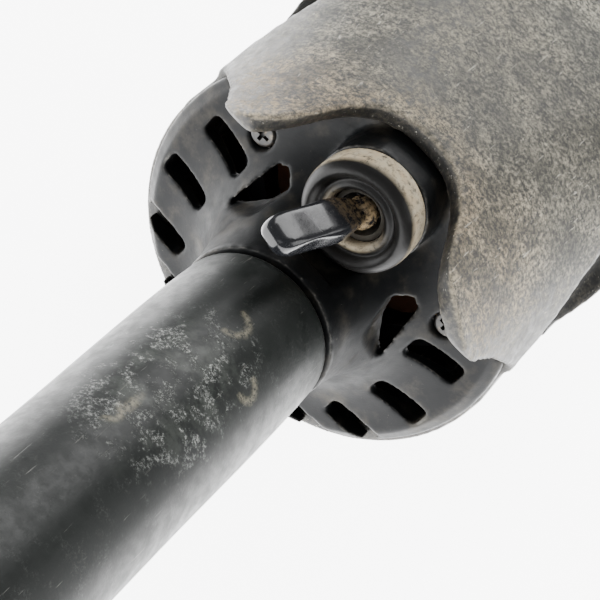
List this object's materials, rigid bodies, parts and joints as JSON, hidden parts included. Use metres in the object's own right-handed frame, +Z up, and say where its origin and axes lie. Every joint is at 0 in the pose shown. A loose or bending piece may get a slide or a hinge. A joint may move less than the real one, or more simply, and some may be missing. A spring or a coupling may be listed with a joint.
{
  "type": "hand vacuum pump",
  "caption": "Hand-held motor-driven vacuum pump: tubular grip, vented end bell with a booted toggle switch, flared hooded body and a round suction spigot at the front.",
  "frame": {"origin": "on the ground under the middle of the length, below the body axis", "axes": "+Y along the body axis from the grip to the inlet spigot, +Z up on the toggle switch's side, +X to the right seen from the grip"},
  "size_m": [0.1068, 0.376, 0.095],
  "materials": {
    "shell": "dark grey moulding, scuffed satin",
    "bell": "charcoal black moulding, satin",
    "nose": "charcoal black moulding, satin",
    "grip": "dark charcoal over-moulding, satin",
    "boot_rubber": "black rubber, matt",
    "lever": "black moulding, polished by use",
    "inner_plastic": "black phenolic moulding",
    "handle_core": "glass-filled tube",
    "gland": "black nylon",
    "gasket": "soft black rubber",
    "screw_steel": "zinc-plated steel",
    "brass_parts": "plain brass",
    "shaft_steel": "ground steel",
    "bearing_steel": "polished bearing steel",
    "lamination": "stacked electrical steel sheet",
    "copper": "bare copper bars",
    "winding": "enamelled copper wire, modelled as solid coils",
    "carbon": "pressed carbon block",
    "spring_steel": "bright spring wire",
    "fan_aluminium": "plain sheet aluminium",
    "can_steel": "plated pressed steel"
  },
  "bodies": {
    "housing": {"upper_shell": "shell", "lower_shell": "shell", "shell_screws": "screw_steel", "rear_bell": "bell", "bell_screws": "screw_steel", "switch_body": "inner_plastic", "switch_terminals": "brass_parts", "switch_bushing": "brass_parts", "switch_nut": "screw_steel", "switch_boot": "boot_rubber", "handle_tube": "handle_core", "grip_sleeve": "grip", "grip_end_cap": "bell", "cord_gland": "gland", "gland_nut": "gland", "rear_bearing": "bearing_steel", "front_bearing": "bearing_steel", "stator_core": "lamination", "field_coils": "winding", "carbon_brushes": "carbon", "brush_holders": "brass_parts", "brush_springs": "spring_steel", "brush_yoke": "inner_plastic", "motor_bracket": "fan_aluminium", "diffuser": "fan_aluminium", "fan_can": "can_steel", "can_gasket": "gasket", "inlet_nose": "nose", "nose_screws": "screw_steel", "filter_screen": "fan_aluminium"},
    "rotor": {"motor_shaft": "shaft_steel", "armature_core": "lamination", "armature_windings": "winding", "commutator": "copper", "cooling_fan": "inner_plastic", "impeller_stage_1": "fan_aluminium", "impeller_stage_2": "fan_aluminium", "impeller_spacer": "fan_aluminium", "impeller_nut": "screw_steel"},
    "lever": {"switch_lever": "lever"}
  },
  "joints": [
    {"name": "rotor_spin", "type": "hinge", "parent": "housing", "child": "rotor", "pos_m": [0, 0.056, 0.046], "axis": [0, 1, 0], "continuous": true},
    {"name": "lever_rock", "type": "hinge", "parent": "housing", "child": "lever", "pos_m": [-0.0012, -0.0198, 0.0732], "axis": [0, 0, 1], "range_deg": [0, 34]}
  ]
}
